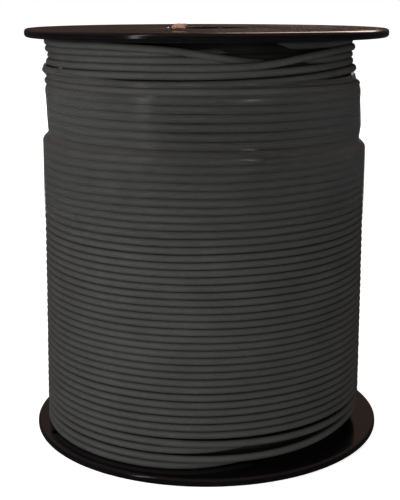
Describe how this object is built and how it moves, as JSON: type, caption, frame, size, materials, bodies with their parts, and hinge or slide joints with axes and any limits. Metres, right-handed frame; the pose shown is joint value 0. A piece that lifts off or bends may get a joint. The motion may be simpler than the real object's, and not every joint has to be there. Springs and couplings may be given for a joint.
{
  "type": "reel of insulated electrical wire",
  "caption": "Full reel of dark grey insulated electrical wire, standing upright: glossy black round flanges on a tube barrel, wire wound in layers between them and a band of clear film.",
  "frame": {"origin": "centre of the flat face that the reel stands on", "axes": "+Z along the reel's axis, up from the standing face; -Y towards the viewer of the picture"},
  "size_m": [0.165, 0.165, 0.1918],
  "materials": {
    "flange_plastic": "glossy black injection moulding, faintly brown in warm light",
    "barrel_plastic": "plain black extruded tube",
    "wire_insulation": "satin dark grey vinyl insulation",
    "clear_film": "clear stretch film, glossy, with fine creases",
    "bare_copper": "bright stranded copper"
  },
  "bodies": {
    "root": {"bottom_flange": "flange_plastic", "top_flange": "flange_plastic", "barrel": "barrel_plastic", "wire_winding": "wire_insulation", "stretch_film": "clear_film", "wire_start_end": "wire_insulation", "copper_tip": "bare_copper"}
  },
  "joints": []
}
